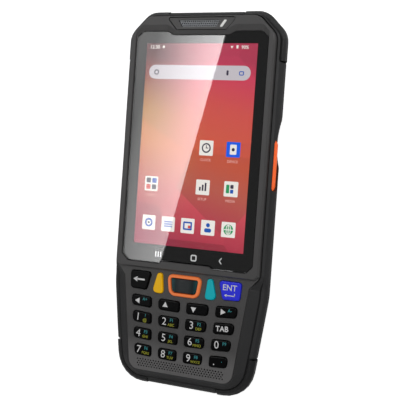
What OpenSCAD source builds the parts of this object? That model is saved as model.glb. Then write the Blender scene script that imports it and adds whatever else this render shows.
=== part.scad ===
// Portable barcode data terminal: a hand-held computer with a screen, a keypad and side scan triggers.
// It lies on its back. +Z points out of the screen, +Y to the earpiece, +X to the screen's right.
// The origin is the centre of the footprint on the surface it lies on.

/* [Body] */
// Length over the corner bumpers
body_l = 162.4; // [156:0.2:172]
// Width across the screen part
body_w = 73.4; // [71:0.2:76]
// Thickness from the back to the screen rim
body_t = 21.8; // [21:0.1:26]
// Width of the tail end, measured between its corner points
tail_w = 61.8; // [58:0.2:66]
// Length of each slanted top corner, measured along one side
corner_cut = 9.4; // [7:0.1:11]
// Radius at both ends of a slanted top corner
corner_r = 8; // [6:0.5:9]
// Radius of the tail corners
tail_r = 13; // [10:0.5:13]
// How far the corner bumpers stand proud of the rubber frame
bumper_proud = 0.3; // [0.2:0.1:0.8]
// Thickness of a corner bumper
bumper_t = 1.6; // [1.3:0.1:1.8]
// Thickness of the rubber frame on the sides
rubber_t = 2.6; // [2.4:0.1:2.7]
// Height of the seam between the front and the back housing
seam_z = 14.6; // [14:0.1:15]
// Wall thickness of the housings
wall = 1.6; // [1.2:0.1:2]

/* [Screen] */
// Distance from the footprint's centre up to the display's centre
display_y = 23.5; // [22.5:0.1:24]
// Width of the lit display
display_w = 52.3; // [50:0.1:53]
// Height of the lit display
display_h = 87.1; // [84:0.1:88]
// Thickness of the display panel
display_t = 2.1; // [1.6:0.1:2.3]
// Width of the cover glass
glass_w = 62; // [60:0.1:62.4]
// Height of the cover glass
glass_h = 100; // [98:0.1:100.4]
// Thickness of the cover glass
glass_t = 1; // [0.7:0.1:1.2]
// Depth of the glass face below the screen rim
glass_drop = 0.6; // [0.3:0.1:0.9]
// Size of the slanted glass corners
glass_cut = 2.8; // [2:0.1:4]

/* [Earpiece] */
// Width of the earpiece panel along its upper edge
ear_w = 32; // [28:0.5:33]
// Height of the earpiece panel
ear_h = 4.9; // [4.4:0.1:5]
// Depth of the earpiece panel below the rim
ear_drop = 0.4; // [0.3:0.1:0.6]
// Diameter of the holes in the earpiece grille
ear_hole = 0.55; // [0.4:0.05:0.7]

/* [Keypad] */
// Depth of the keypad deck below the screen rim
deck_drop = 1.6; // [1.4:0.1:1.8]
// Thickness of the keypad deck
deck_t = 1.6; // [1.4:0.1:1.8]
// Half the width of the deck below the screen
deck_half = 29.6; // [29.2:0.1:30]
// Half the width of the deck at its lower corners
deck_end = 24.4; // [24:0.1:24.8]
// Half the width across the keys at the arrow row
keys_half = 25.4; // [25:0.1:25.6]
// Half the width across the keys under the lowest row
keys_end = 21.9; // [21.6:0.1:22.2]
// Width of an outer key in the arrow row
outer_key_w = 9.8; // [9.4:0.1:10]
// Width of an outer key in the lowest row
outer_key_end = 8; // [7.8:0.1:8.2]
// Gap between an outer and an inner key
column_gap = 3.6; // [3.2:0.1:3.8]
// Gap between the two middle columns
centre_gap = 3.4; // [3:0.1:3.8]
// Upper edge of the arrow row
rows_y = -42.6; // [-42.8:0.1:-42.4]
// Distance from one key row to the next
row_pitch = 7.05; // [6.9:0.05:7.1]
// Height of a number key
key_h = 4.5; // [4.2:0.1:4.6]
// How far the key rows sag towards the middle
row_sag = 0.9; // [0:0.1:1]
// Upper edge of the command keys
command_y = -32.2; // [-32.3:0.05:-32.1]
// Height of the command keys
command_h = 7.9; // [7.6:0.1:8.2]
// How far the keys stand above the deck
key_rise = 0.8; // [0.6:0.1:1]
// Travel of a key
key_travel = 0.5; // [0.3:0.05:0.6]
// Wall of the ring round the scan key
ring_wall = 1.3; // [1:0.1:1.4]

/* [Loudspeaker] */
// Diameter of the sound holes
sound_hole = 0.75; // [0.5:0.05:0.9]
// Distance between sound holes in a row
sound_pitch = 1.3; // [1.2:0.05:1.6]
// Number of sound holes in a row
sound_count = 32; // [20:1:33]

/* [Side controls] */
// Distance from the footprint's centre up to the middle of a scan trigger
trigger_y = 17.2; // [14:0.1:20]
// Length of a scan trigger
trigger_l = 22.6; // [20:0.1:24]
// Height of a scan trigger through the thickness
trigger_h = 6.6; // [5.6:0.1:6.8]
// Height of the trigger's middle above the back
trigger_z = 14.7; // [14.2:0.1:14.8]
// Travel of a trigger, and of the side keys
trigger_travel = 0.6; // [0.3:0.1:0.8]
// Depth of the finger scoop beside a trigger
scoop_depth = 1.3; // [1:0.1:1.9]
// Length of the finger scoop
scoop_l = 20; // [15:0.5:20]

/* [Battery] */
// Width of the battery pack
battery_w = 50; // [44:0.5:51]
// Length of the battery pack
battery_l = 68; // [60:0.5:69]
// Thickness of the battery pack
battery_t = 8.6; // [6:0.1:8.7]
// Distance from the footprint's centre to the middle of the battery cover
cover_y = -13; // [-15:0.5:-12]
// Width of the battery cover
cover_w = 55; // [54:0.5:56]
// Length of the battery cover
cover_l = 78; // [76:0.5:80]
// Thickness of the battery cover
cover_t = 1.4; // [1.2:0.1:1.6]
// Travel of the battery latch
latch_travel = 3; // [2:0.5:4]

/* [Ends] */
// Width of the scanner window in the top end
window_w = 24; // [20:0.5:25]
// Height of the scanner window
window_h = 5.6; // [5:0.1:6]
// Width of the port cover in the tail end
port_w = 15; // [13:0.5:17]
// Height of the port cover
port_h = 6.6; // [6:0.1:6.8]
// Height of the port's middle above the back
port_z = 11.6; // [11.4:0.1:11.8]

/* [Fits] */
// Gap round keys and buttons in their openings
key_gap = 0.25; // [0.15:0.05:0.3]
// Gap between fixed pieces that are fitted together
fit_gap = 0.1; // [0.05:0.01:0.15]
// Gap round covers that open
cover_gap = 0.3; // [0.2:0.05:0.4]
// Play of a hinge pin in its knuckle, measured on the radius
pin_gap = 0.06; // [0.03:0.01:0.1]

/* [Hidden] */
$fn = 48;

rim_z = body_t;
glass_z = rim_z - glass_drop;
mask_t = 0.15;
glass_under = glass_z - glass_t;
shelf_z = glass_under - mask_t;
deck_z = rim_z - deck_drop;
deck_under = deck_z - deck_t;
key_z = deck_z + key_rise;
side = body_w / 2;
end_y = body_l / 2 - bumper_proud;
tail_x = tail_w / 2;
front_inset = 2.1;
front_lean = 0.75;
rubber_end_t = rubber_t - 0.7;
back_edge_z = 8.4;
tub_floor = 12.4;
ledge = rubber_t + fit_gap;
end_ledge = rubber_end_t + fit_gap;
deck_wall = 1.1;
sound_row = 0.95;
ear_floor = rim_z - 1.6;
rubber_top = 19.2;
panel_w = display_w + 2;
panel_y0 = display_y - display_h / 2 - 2.4;
panel_y1 = display_y + display_h / 2 + 1;
panel_z1 = shelf_z;
panel_z0 = panel_z1 - display_t;
cover_y0 = cover_y - cover_l / 2;
cover_y1 = cover_y + cover_l / 2;
cover_z0 = 0.2;
cover_z1 = cover_z0 + cover_t;
swing_gap = 0.4;
pivot_r = 0.45;
pivot_l = 1.4;
bay_w = battery_w + 1;
bay_y0 = cover_y0 + 4;
bay_y1 = bay_y0 + battery_l + 1.6;
bay_top = 11.2;
latch_w = 18;
latch_y0 = cover_y0 - 3.4;
latch_y1 = cover_y0 + 2.6;
tail_y0 = -end_y + 7.6;
tail_y1 = bay_y0 - 2;
engine_w = 26;
engine_y1 = end_y - 3.4;
engine_y0 = engine_y1 - 15;
engine_z0 = 5.3;
engine_z1 = engine_z0 + 8.4;
window_z = 9.6;
board_z0 = tub_floor;
board_t = 1.2;
board_y0 = bay_y0 + 1;
board_y1 = engine_y0 - 2;
cap_under = deck_under - fit_gap;
flange_t = 0.5;
flange_w = 0.45;
mat_z1 = cap_under - flange_t - key_travel - 0.1;
mat_z0 = mat_z1 - 1.2;
pad_board_t = 0.8;
scoop_r = (pow(scoop_l / 2, 2) + pow(scoop_depth, 2)) / (2 * scoop_depth);
scoop_y = trigger_y + 9.8;
wall_lean = atan(2.35 / (seam_z - back_edge_z));
flange_a = ledge + wall + 0.5;
flange_depth = 0.9;
rocker_r = 0.6;
room_depth = 3.6;
power_y = 56;
power_l = 8;
volume_y = 42;
volume_l = 15;
side_key_h = 2.8;
side_key_z = 14.2;
side_key_face = -0.25;
port_t = 1.2;
hinge_r = 0.5;
port_hinge_z = port_z - port_h / 2 + 1;
port_hinge_y = -end_y + 1.1;
knuckle_w = 4;
usb_w = 9;
usb_h = 3.3;
camera_x = -17;
camera_y = 50;
camera_d = 9;
camera_w = 9.5;
camera_t = 1.2;
flash_x = camera_x + 11;
flash_d = 4;
screw_d = 2;
screw_head = 3.8;
screw_sink = 1.6;
grille_left = -10.2;
grille_right = 6.9;
lens_x = 8.2;

// ---------- outline arithmetic ----------
// A corner is [x, y, radius, segments]; outlines run anticlockwise.

function unit(v) = v / norm(v);
function left_of(v) = [-v.y, v.x];
function flat2(p) = [p.x, p.y];
function signed(a) = a > 180 ? a - 360 : a < -180 ? a + 360 : a;
function at(list, i) = list[(i + len(list)) % len(list)];

// Points along one rounded corner; a corner on a straight side spreads its points along it
function corner_points(p, q, s) =
    let (b = flat2(q), u = unit(flat2(p) - b), v = unit(flat2(s) - b), r = q[2], n = q[3])
    abs(cross(u, v)) < 0.002 ? [for (k = [0:n]) b + u * r * (1 - 2 * k / n)] :
    let (half = acos(u * v) / 2, mid = b + unit(u + v) * r / sin(half))
    let (from = b + u * r / tan(half) - mid, to = b + v * r / tan(half) - mid)
    let (a0 = atan2(from.y, from.x), sweep = signed(atan2(to.y, to.x) - a0))
    [for (k = [0:n]) mid + r * [cos(a0 + sweep * k / n), sin(a0 + sweep * k / n)]];
function rounded(c) = [for (i = [0:len(c) - 1]) each corner_points(at(c, i - 1), c[i], at(c, i + 1))];

// The same corners moved inwards by d, with their radii kept concentric
function inset(c, d) = [for (i = [0:len(c) - 1])
    let (e = unit(flat2(c[i]) - flat2(at(c, i - 1))), f = unit(flat2(at(c, i + 1)) - flat2(c[i])))
    let (m = (left_of(e) + left_of(f)) / (1 + e * f), bend = cross(e, f))
    let (r = abs(bend) < 0.002 ? c[i][2] : max(c[i][2] - sign(bend) * d, 0.3))
    [c[i].x + d * m.x, c[i].y + d * m.y, r, c[i][3]]];

// A right half, listed from the tail up to the top, and its mirror image
function both_sides(h) = concat(h, [for (i = [len(h) - 1:-1:0]) [-h[i].x, h[i].y, h[i][2], h[i][3]]]);
function mirrored(c) = [for (i = [len(c) - 1:-1:0]) [-c[i].x, c[i].y, c[i][2], c[i][3]]];
function lift(points, z) = [for (p = points) [p.x, p.y, z]];
function mix(a, b, w) = a * (1 - w) + b * w;
function clamp01(t) = min(max(t, 0), 1);

// ---------- solids from outlines ----------

// Solid through a stack of rings with equal numbers of points, lowest first
module loft(rings) {
    n = len(rings[0]);
    top = len(rings) - 1;
    polyhedron(
        points = [for (r = rings) each r],
        faces = [[for (i = [0:n - 1]) i], [for (i = [n - 1:-1:0]) top * n + i],
            for (r = [0:top - 1], i = [0:n - 1])
                [r * n + i, (r + 1) * n + i, (r + 1) * n + (i + 1) % n, r * n + (i + 1) % n]]);
}

// Triangles between two sections of k points, whose first points have the numbers a and b
function bridge(a, b, k) = [for (j = [0:k - 1]) each let (n = (j + 1) % k)
    [[a + j, a + n, b + n], [a + j, b + n, b + j]]];

// Closed band: sections follow one another anticlockwise round the body
module band(sections) {
    k = len(sections[0]);
    p = len(sections);
    polyhedron(
        points = [for (s = sections) each s],
        faces = [for (i = [0:p - 1]) each bridge(i * k, (i + 1) % p * k, k)]);
}

// Triangles over the end of a strip, whose outer and inner points face each other two by two
function end_cap(a, k) = [for (j = [0:k / 2 - 2]) each
    [[a + j, a + j + 1, a + k - 2 - j], [a + j, a + k - 2 - j, a + k - 1 - j]]];
function flipped(faces) = [for (f = faces) [f[2], f[1], f[0]]];

// Strip: sections from one end to the other, closed by its two ends
module strip(sections) {
    k = len(sections[0]);
    p = len(sections);
    polyhedron(
        points = [for (s = sections) each s],
        faces = concat(flipped(end_cap(0, k)), end_cap((p - 1) * k, k),
            [for (i = [0:p - 2]) each bridge(i * k, (i + 1) * k, k)]));
}

// Straight prism between two heights
module slab(corners, z0, z1) {
    translate([0, 0, z0]) linear_extrude(z1 - z0) polygon(rounded(corners));
}
module block(x0, x1, y0, y1, z0, z1) {
    translate([x0, y0, z0]) cube([x1 - x0, y1 - y0, z1 - z0]);
}
// Corners of a rectangle with equal radii
function rect(x0, x1, y0, y1, r, n = 4) = [[x0, y0, r, n], [x1, y0, r, n], [x1, y1, r, n], [x0, y1, r, n]];

// ---------- plan outlines ----------

// Where the corner bumpers begin: along the sides and along the two ends
bumper_side_top = end_y - 21;
bumper_end_top = 17.6;
bumper_side_tail = -end_y + 17;
bumper_end_tail = 16.5;
bevel = 0.5;
taper_y = -end_y + 23.2;
rim_y = -30.6;
waist_y = rim_y - 3.8;
flank_y = waist_y - 3.6;
shoulder_y = waist_y + 4.7;
shoulder_r = 2.5;
tail_mid_x = tail_x + 3.3;
tail_slope = (tail_mid_x - tail_x) / (taper_y + end_y);
top_knee_y = end_y - corner_cut;
top_knee_x = side - corner_cut;

function body_half() = [
    [bumper_end_tail, -end_y, bevel, 1],
    [tail_x, -end_y, tail_r, 6],
    [tail_x + tail_slope * (bumper_side_tail + end_y), bumper_side_tail, bevel, 1],
    [tail_mid_x, taper_y + 0.001, 40, 1],
    [side, flank_y, 36, 2],
    [side, waist_y, 0.6, 1],
    [side, shoulder_y, shoulder_r * tan(22.5), 1],
    [side, 3, 9, 1],
    [side, 36, 9, 1],
    [side, bumper_side_top, bevel, 1],
    [side, top_knee_y, corner_r, 4],
    [top_knee_x, end_y, corner_r, 4],
    [bumper_end_top, end_y, bevel, 1]];
function body_outline() = both_sides(body_half());

// The front housing follows the body round the screen and narrows to the deck below it
front_side = side - front_inset - front_lean;
front_top = end_y - front_inset;
front_knee = front_inset * (sqrt(2) - 1);
deck_bottom = -end_y + 5.7;
deck_slope = (deck_half - deck_end) / (waist_y - deck_bottom);
function deck_x(y) = deck_end + deck_slope * (y - deck_bottom);
function front_half() = [
    [15.6, deck_bottom, bevel, 1],
    [deck_end, deck_bottom, 4.6, 6],
    [deck_x(bumper_side_tail), bumper_side_tail, bevel, 1],
    [deck_x(taper_y), taper_y, 0.7, 1],
    [deck_x(flank_y), flank_y, 2, 2],
    [deck_half, waist_y, 1.2, 1],
    [front_side, shoulder_y, shoulder_r, 1],
    [front_side, 3, 9, 1],
    [front_side, 36, 9, 1],
    [front_side, bumper_side_top, bevel, 1],
    [front_side, top_knee_y - front_knee, corner_r - front_inset, 4],
    [top_knee_x - front_knee - front_lean, front_top, corner_r - front_inset, 4],
    [bumper_end_top, front_top, bevel, 1]];
function front_outline() = both_sides(front_half());

// Only the screen part of the front housing
function screen_part() = both_sides([
    [front_side - 1.7, rim_y, 0.8, 2],
    [front_side, rim_y + 1.7, 0.8, 2],
    [front_side, top_knee_y - front_knee, corner_r - front_inset, 5],
    [top_knee_x - front_knee - front_lean, front_top, corner_r - front_inset, 5]]);
// Only the deck part
function deck_part() = both_sides([
    [deck_end, deck_bottom, 4.6, 6],
    [deck_half, waist_y, 1.2, 1],
    [front_side, shoulder_y, shoulder_r, 1],
    [front_side, shoulder_y + 4, 0.3, 1]]);
function deck_hollow() = inset(both_sides([
    [deck_end, deck_bottom, 4.6, 6],
    [deck_half, waist_y, 1.2, 1],
    [deck_half, rim_y + 2, 0.3, 1]]), deck_wall);

glass_top = display_y + glass_h / 2 - 1.3;
glass_bottom = glass_top - glass_h;
glass_notch = 1.6;
function glass_outline() = both_sides([
    [11.4, glass_bottom + 1.1, 0.8, 2],
    [12.8, glass_bottom, 0.8, 2],
    [glass_w / 2 - glass_cut, glass_bottom, 1.2, 2],
    [glass_w / 2, glass_bottom + glass_cut, 1.2, 2],
    [glass_w / 2, glass_top - glass_cut, 1.6, 2],
    [glass_w / 2 - glass_cut, glass_top, 1.6, 2],
    [ear_w / 2 + 0.2, glass_top, 1, 2],
    [ear_w / 2 - 2.8, glass_top - glass_notch, 1, 2]]);
// The opening at the rim above the glass: the upper side leans back by a wide dark bevel
rim_bevel = 2.7;
side_bevel = 0.35;
function rim_opening() = let (g = inset(glass_outline(), -side_bevel)) [for (c = g)
    c.y > display_y + display_h / 2 ? [c.x, c.y + rim_bevel - side_bevel, c[2], c[3]] : c];

ear_top = front_top - 1;
ear_bottom = ear_top - ear_h;
ear_slant = 4.4;
function ear_outline() = both_sides([[ear_w / 2 - ear_slant, ear_bottom, 0.5, 2], [ear_w / 2, ear_top, 0.5, 2]]);

// ---------- key outlines ----------

rows_end = rows_y - 3 * row_pitch - key_h;
function along_keys(y) = (rows_y - y) / (rows_y - rows_end);
function outer_x(y) = mix(keys_half, keys_end, along_keys(y));
function second_x(y) = outer_x(y) - mix(outer_key_w, outer_key_end, along_keys(y));
function third_x(y) = second_x(y) - column_gap;
function sag(x) = -row_sag * (1 - pow(x / keys_half, 2));
// Inner and outer edge of a column at height y: 0 is the middle pair, 1 the outer pair
function near_x(column, y) = column == 0 ? centre_gap / 2 : second_x(y);
function far_x(column, y) = column == 0 ? third_x(y) : outer_x(y);
function key_corner(x, y, r) = [x, y + sag(x), r, 3];
function number_key(row, column) = let (y1 = rows_y - row * row_pitch, y0 = y1 - key_h) [
    key_corner(near_x(column, y0), y0, 1),
    key_corner(far_x(column, y0), y0, 1.4),
    key_corner(far_x(column, y1), y1, 1.4),
    key_corner(near_x(column, y1), y1, 1)];
command_end = command_y - command_h;
function command_key() = [
    [18.3, command_end, 1.2, 3],
    [26, command_end + 0.3, 1.2, 3],
    [26.5, command_y, 1.2, 3],
    [16.1, command_y, 1.2, 3]];
function leaf_key() = [
    [9.9, command_end - 0.8, 1.3, 3],
    [15.4, command_end - 0.7, 1.7, 3],
    [13.1, command_y + 0.1, 1.1, 3],
    [10.9, command_y + 0.1, 1.1, 3]];
function ring_outline() = both_sides([[7, command_end - 1.1, 3.2, 5], [8.3, command_y + 0.2, 2.2, 4]]);
function key_outlines() = concat(
    [for (row = [0:3], column = [0, 1]) number_key(row, column)],
    [for (row = [0:3], column = [0, 1]) mirrored(number_key(row, column))],
    [command_key(), mirrored(command_key()), leaf_key(), mirrored(leaf_key())]);

// ---------- housings ----------

module front_housing() color([0.27, 0.27, 0.28]) difference() {
    union() {
        loft([lift(rounded(screen_part()), seam_z),
            lift(rounded(inset(screen_part(), 0.05)), rim_z - 1.1),
            lift(rounded(inset(screen_part(), 0.2)), rim_z - 0.5),
            lift(rounded(inset(screen_part(), 0.6)), rim_z)]);
        slab(deck_part(), seam_z, deck_z);
    }
    // glass seat, with a bevel down to it
    loft([lift(rounded(inset(glass_outline(), -fit_gap)), shelf_z),
        lift(rounded(inset(glass_outline(), -fit_gap)), glass_z - 0.2),
        lift(rounded(rim_opening()), rim_z + 0.01)]);
    // opening for the display panel under the glass
    block(-panel_w / 2 - fit_gap, panel_w / 2 + fit_gap, panel_y0 - fit_gap, panel_y1 + fit_gap,
        seam_z, rim_z);
    // hollow under the screen shelf
    slab(inset(screen_part(), wall), seam_z - 1, panel_z0);
    // hollow under the deck
    slab(deck_hollow(), seam_z - 1, deck_under);
    for (s = [-1, 1]) trigger_hole(s, key_gap);
    side_key_hole(power_y, power_l, key_gap);
    side_key_hole(volume_y, volume_l, key_gap);
    // earpiece panel and sound duct
    slab(inset(ear_outline(), -0.35), ear_floor, rim_z + 1);
    block(-9, 7, ear_bottom + 0.8, ear_top - 0.8, panel_z0 - 1, rim_z);
    // key openings
    translate([0, 0, deck_under - 1]) linear_extrude(deck_t + 2)
        for (k = key_outlines()) polygon(rounded(inset(k, -key_gap)));
    slab(inset(ring_outline(), -fit_gap), deck_under - 1, deck_z + 1);
    // sound holes
    for (row = [0:3], i = [0:sound_count - 1])
        translate([(i - (sound_count - 1) / 2 + (row % 2 - 0.5) / 2) * sound_pitch,
            sound_y - row * sound_row, deck_under - 1])
            cylinder(d = sound_hole, h = deck_t + 2, $fn = 6);
}
sound_y = rows_end - 2.3;

// Profile of the rubber frame, [inset at the sides, height, inset at the ends], beside the screen
function side_profile(recess) = [
    [2.3, back_edge_z + fit_gap, 0.5],
    [1 + recess, 11.5, 0.15 + recess],
    [recess, 14.3, recess],
    [recess, 16.4, recess],
    [0.6 + recess, 17.7, 0.6 + recess],
    [0.85 + min(recess, 0.9), 18.1, 0.85 + min(recess, 0.9)],
    [1.1 + min(recess, 0.5), 18.4, 1.1 + min(recess, 0.5)],
    [1.35 + min(recess, 0.2), 18.75, 1.35 + min(recess, 0.2)]];
// and beside the keypad, where a broad shoulder climbs to the deck above a fine crease
function shoulder_profile(recess) = [
    [2.3, back_edge_z + fit_gap, 0.5],
    [1 + recess, 11.5, 0.15 + recess],
    [recess, 14.3, recess],
    [0.1 + recess, 16.2, 0.1 + recess],
    [1.2 + recess, 17.4, 1 + recess],
    [2.3 + min(recess, 0.3), 17.95, 1.7 + min(recess, 0.6)],
    [2.75, 17.5, 2.4],
    [3.1, 18.1, 2.75]];
// The points of an outline moved in by d at the sides and by e at the ends
function slimmed(c, d, e) = [for (p = rounded(inset(c, e))) [p.x - sign(p.x) * (d - e), p.y]];
function body_ring(d, z, e) = lift(slimmed(body_outline(), d, e), z);
function seat_ring(d, z) = lift(rounded(inset(front_outline(), d)), z);
function frame_rings(profile, top_d, top_z, lip_z) = concat(
    [for (q = profile) body_ring(q[0], q[1], q[2])],
    [seat_ring(top_d, top_z), seat_ring(-fit_gap, lip_z), seat_ring(-fit_gap, seam_z),
        body_ring(rubber_t, seam_z, rubber_end_t),
        body_ring(rubber_t, back_edge_z + fit_gap, rubber_end_t)]);
screen_rings = frame_rings(side_profile(0), -0.5, rubber_top, rubber_top - 0.3);
screen_cut = frame_rings(side_profile(bumper_t - bumper_proud), -0.5, rubber_top, rubber_top - 0.3);
deck_rings = frame_rings(shoulder_profile(0), -0.7, deck_z, deck_z - 0.1);
deck_cut = frame_rings(shoulder_profile(bumper_t - bumper_proud), -0.7, deck_z, deck_z - 0.1);
path = rounded(body_outline());
// 1 beside the keypad, 0 beside the screen
function shoulder_share(p) = clamp01((shoulder_y - p.y) / (shoulder_y - waist_y));
// 1 where a corner bumper lies, 0 elsewhere
function bumper_share(p) =
    p.y > 0 ? clamp01((p.y - bumper_side_top + bevel) / bevel / 2) *
        clamp01((abs(p.x) - bumper_end_top + bevel) / bevel / 2) :
    clamp01((bumper_side_tail + bevel - p.y) / bevel / 2) *
        clamp01((abs(p.x) - bumper_end_tail + bevel) / bevel / 2);
function frame_section(i) =
    let (w = shoulder_share(path[i]), g = bumper_share(path[i]))
    [for (k = [0:len(screen_rings) - 1])
        mix(mix(screen_rings[k][i], screen_cut[k][i], g), mix(deck_rings[k][i], deck_cut[k][i], g), w)];

module rubber_frame() color([0.12, 0.12, 0.13]) difference() {
    band([for (i = [0:len(path) - 1]) frame_section(i)]);
    for (s = [-1, 1]) {
        finger_scoop(s);
        trigger_hole(s, key_gap);
        strap_slot(s);
    }
    // power and volume keys
    side_key_hole(power_y, power_l, key_gap);
    side_key_hole(volume_y, volume_l, key_gap);
    // scanner window
    block(-window_w / 2 - 1, window_w / 2 + 1, end_y - 6, end_y + 2,
        window_z - window_h / 2 - 1, window_z + window_h / 2 + 1);
    port_recess(0);
    port_pin(hinge_r + 0.02, 1.1);
}

// Scoop for a finger beside each trigger; it leans with the lower wall and fades out above the seam
module finger_scoop(s) translate([s * side, scoop_y, seam_z]) rotate([0, s * wall_lean, 0])
    translate([s * (scoop_r - scoop_depth), 0, -18]) cylinder(r = scoop_r, h = 26, $fn = 96);

// Slot for a lanyard, from the side wall round to the back
strap_y = bumper_side_tail + 7.2;
module strap_slot(s) {
    translate([s * (tail_mid_x - 4), strap_y, 11.4]) rotate([0, s * 90, 0])
        linear_extrude(8) polygon(rounded(rect(-2.8, 2.8, -3.9, 3.9, 1.5)));
}

module back_housing() color([0.14, 0.14, 0.15]) difference() {
    union() {
        loft([for (q = [[7, 0, 4.8], [5.4, 0.8, 3.5], [4.15, 3.5, 1.95], [2.35, back_edge_z, 0.55]])
            lift(slimmed(plain_body(), q[0], q[2]), q[1])]);
        tub(ledge, end_ledge, back_edge_z - 0.5, seam_z - fit_gap);
    }
    // board tray
    tub(ledge + wall, end_ledge + wall, tub_floor, seam_z + 1);
    // battery bay, cover seat and latch seat
    block(-bay_w / 2, bay_w / 2, bay_y0, bay_y1, -1, bay_top);
    slab(inset(cover_outline(), -cover_gap), -1, cover_z1 + swing_gap);
    cover_pivots(pivot_r + pin_gap, pivot_l + 0.2);
    slab(rect(-latch_w / 2 - cover_gap, latch_w / 2 + cover_gap, latch_y0 - latch_travel - cover_gap,
        latch_y1, 1), -1, cover_z1 + fit_gap);
    // scan engine bay and window
    block(-engine_w / 2 - 0.2, engine_w / 2 + 0.2, engine_y0 - 0.2, engine_y1 + 0.2,
        engine_z0 - 0.2, seam_z);
    block(-window_w / 2 - 0.2, window_w / 2 + 0.2, engine_y1, end_y,
        window_z - window_h / 2 - 0.2, window_z + window_h / 2 + 0.2);
    // tail compartment with the loudspeaker, the motor and the port
    block(-21, 21, tail_y0, tail_y1, 3.2, seam_z);
    port_recess(0.2);
    block(-usb_w / 2 - 0.2, usb_w / 2 + 0.2, -end_y - 1, tail_y0 + 1,
        port_z - usb_h / 2 - 0.2, port_z + usb_h / 2 + 0.2);
    // camera and flash
    translate([camera_x, camera_y, -1]) cylinder(d = camera_d + 0.4, h = 1 + camera_t);
    block(camera_x - camera_w / 2 - 0.2, camera_x + camera_w / 2 + 0.2,
        camera_y - camera_w / 2 - 0.2, camera_y + camera_w / 2 + 0.2, camera_t, tub_floor + 1);
    translate([flash_x, camera_y, -1]) cylinder(d = flash_d + 0.2, h = 3);
    // side controls
    for (s = [-1, 1]) {
        finger_scoop(s);
        trigger_hole(s, key_gap);
        trigger_room(s);
        strap_slot(s);
    }
    side_key_hole(power_y, power_l, key_gap);
    side_key_hole(volume_y, volume_l, key_gap);
    side_key_room(power_y, power_l);
    side_key_room(volume_y, volume_l);
    // screw holes with sunk heads
    for (p = screw_places()) translate([p.x, p.y, 0]) {
        translate([0, 0, -1]) cylinder(d = screw_head + 0.4, h = 1 + screw_sink);
        cylinder(d = screw_d + 0.2, h = seam_z);
    }
}
module tub(d, e, z0, z1) {
    translate([0, 0, z0]) linear_extrude(z1 - z0) polygon(slimmed(plain_body(), d, e));
}
function plain_body() = both_sides([
    [tail_x, -end_y, tail_r, 6],
    [tail_mid_x, taper_y, 40, 2],
    [side, flank_y, 36, 2],
    [side, top_knee_y, corner_r, 5],
    [top_knee_x, end_y, corner_r, 5]]);

// ---------- corner bumpers ----------

function bumper_rings(profile) = [for (q = profile) body_ring(q[0], q[1], q[2])];
function shifted(q, d) = [q[0] + d, q[1], q[2] + d];
// Each profile runs up the outer face and down the inner one
function bumper_profile(face) = [
    for (k = [1:4]) shifted(face[k], -bumper_proud * (k == 1 ? 0.6 : k == 4 ? 0.5 : 1)),
    for (k = [4:-1:1]) shifted(face[k], bumper_t - bumper_proud - 0.05)];
top_pad = bumper_rings(bumper_profile(side_profile(0)));
tail_pad = bumper_rings(bumper_profile(shoulder_profile(0)));
function covered(rings, above) = [for (i = [0:len(path) - 1])
    if ((above ? path[i].y > 0 : path[i].y < 0) && path[i].x > 0 && bumper_share(path[i]) > 0.5)
        [for (r = rings) r[i]]];
module bumper_top() strip(covered(top_pad, true));
module bumper_tail() strip(covered(tail_pad, false));
module bumper_top_left() color([0.09, 0.09, 0.1]) mirror([1, 0, 0]) bumper_top();
module bumper_top_right() color([0.09, 0.09, 0.1]) bumper_top();
module bumper_tail_left() color([0.09, 0.09, 0.1]) mirror([1, 0, 0]) bumper_tail();
module bumper_tail_right() color([0.09, 0.09, 0.1]) bumper_tail();

// ---------- screen ----------

module cover_glass() color([0.1, 0.12, 0.14, 0.4]) loft([
    lift(rounded(glass_outline()), glass_under),
    lift(rounded(glass_outline()), glass_z - 0.2),
    lift(rounded(inset(glass_outline(), 0.2)), glass_z)]);
module screen_mask() color([0.03, 0.03, 0.03])
    translate([0, 0, shelf_z]) linear_extrude(mask_t) difference() {
        polygon(rounded(glass_outline()));
        translate([-display_w / 2, display_y - display_h / 2]) square([display_w, display_h]);
    }
module display_panel() color([0.75, 0.3, 0.33])
    block(-panel_w / 2, panel_w / 2, panel_y0, panel_y1, panel_z0, panel_z1);

// ---------- earpiece ----------

module earpiece_panel() color([0.3, 0.3, 0.31]) difference() {
    slab(ear_outline(), ear_floor, rim_z - ear_drop);
    slab(grille_outline(0), ear_floor - 1, rim_z);
    slab(lens_outline(0), ear_floor - 1, rim_z);
}
function grille_outline(d) = inset([
    [grille_left + 1, ear_bottom + 0.9, 0.4, 2],
    [grille_right, ear_bottom + 0.9, 0.4, 2],
    [grille_right + 2, ear_top - 0.9, 0.4, 2],
    [grille_left - 1, ear_top - 0.9, 0.4, 2]], d);
function lens_outline(d) = inset([
    [lens_x, ear_bottom + 0.9, 0.3, 2],
    [lens_x + 1.5, ear_bottom + 0.9, 0.3, 2],
    [lens_x + 3.7, ear_top - 0.9, 0.3, 2],
    [lens_x + 2.2, ear_top - 0.9, 0.3, 2]], d);
module earpiece_grille() color([0.05, 0.05, 0.05])
    translate([0, 0, ear_floor]) linear_extrude(0.7) difference() {
        polygon(rounded(grille_outline(0.05)));
        for (row = [0:2], i = [0:17])
            translate([grille_left + 0.6 + i + row * 0.25, ear_bottom + 1.55 + row * 0.9])
                circle(d = ear_hole, $fn = 6);
    }
module status_lens() color([0.9, 0.9, 0.9]) slab(lens_outline(0.05), ear_floor, rim_z - ear_drop - 0.1);
module earpiece() color([0.5, 0.5, 0.52])
    slab(rect(-7, 5, ear_bottom + 0.9, ear_top - 0.9, 1), panel_z0, ear_floor - fit_gap);

// ---------- keys ----------

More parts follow.
